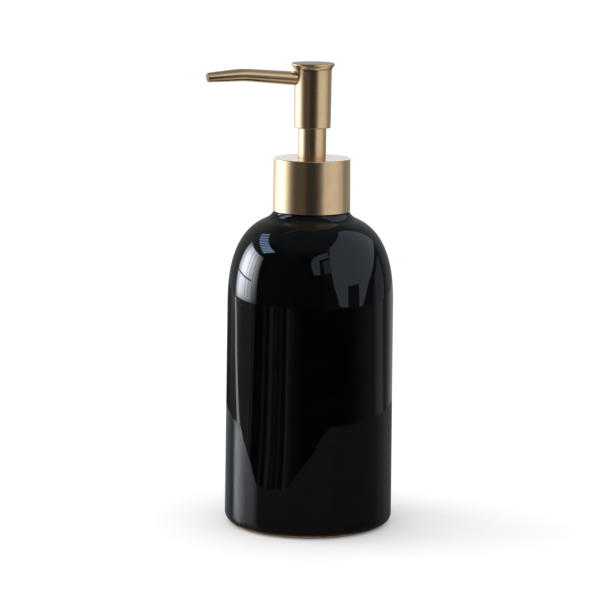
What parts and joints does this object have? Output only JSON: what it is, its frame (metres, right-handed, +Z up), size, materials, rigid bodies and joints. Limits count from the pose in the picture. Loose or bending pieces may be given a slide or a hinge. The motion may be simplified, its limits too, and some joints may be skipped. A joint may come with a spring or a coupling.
{
  "type": "soap pump dispenser",
  "caption": "Round black glazed ceramic bottle with a rounded shoulder and a satin gold lotion pump: straight collar, flared press head and slim drooping side spout.",
  "frame": {"origin": "on the bottle's axis, in the plane that the base pad stands on", "axes": "+Z up along the bottle's axis, the spout points along -X, +Y completes the right-handed frame; the object is symmetric about the XZ plane"},
  "size_m": [0.0855, 0.0752, 0.2065],
  "materials": {
    "black_glaze": "high gloss black glaze",
    "satin_gold": "satin champagne gold metal",
    "white_plastic": "moulded polypropylene, fine matt",
    "natural_plastic": "milky natural polyethylene",
    "steel": "bright stainless steel",
    "dark_rubber": "matt foam rubber"
  },
  "bodies": {
    "bottle": {"bottle": "black_glaze", "base_pad": "dark_rubber", "neck_insert": "white_plastic"},
    "pump_body": {"pump_housing": "natural_plastic", "stem_guide": "white_plastic", "dip_tube": "natural_plastic", "ball_cage": "white_plastic", "neck_gasket": "dark_rubber", "return_spring": "steel"},
    "closure": {"closure": "white_plastic", "collar_shell": "satin_gold"},
    "plunger": {"piston_rod": "white_plastic"},
    "piston": {"piston": "natural_plastic"},
    "head": {"stem": "white_plastic", "stem_sleeve": "satin_gold", "head_core": "white_plastic", "head_shell": "satin_gold", "head_cap": "satin_gold", "spout_tube": "satin_gold", "spout_liner": "natural_plastic"},
    "inlet_ball": {"inlet_ball": "steel"}
  },
  "joints": [
    {"name": "pump_lift", "type": "slide", "parent": "bottle", "child": "pump_body", "axis": [0, 0, 1], "range_m": [0, 0.15]},
    {"name": "closure_spin", "type": "hinge", "parent": "pump_body", "child": "closure", "pos_m": [0, 0, 0.141], "axis": [0, 0, 1], "range_deg": [0, 450]},
    {"name": "pump_press", "type": "slide", "parent": "pump_body", "child": "plunger", "axis": [0, 0, -1], "range_m": [0, 0.012], "stiffness_N_per_m": 900, "springref_m": -0.009, "deforming": ["return_spring"]},
    {"name": "head_swivel", "type": "hinge", "parent": "plunger", "child": "head", "pos_m": [0, 0, 0.17], "axis": [0, 0, 1], "continuous": true},
    {"name": "piston_float", "type": "slide", "parent": "plunger", "child": "piston", "axis": [0, 0, 1], "range_m": [0, 0.0012]},
    {"name": "ball_lift", "type": "slide", "parent": "pump_body", "child": "inlet_ball", "axis": [0, 0, 1], "range_m": [0, 0.0012]}
  ]
}
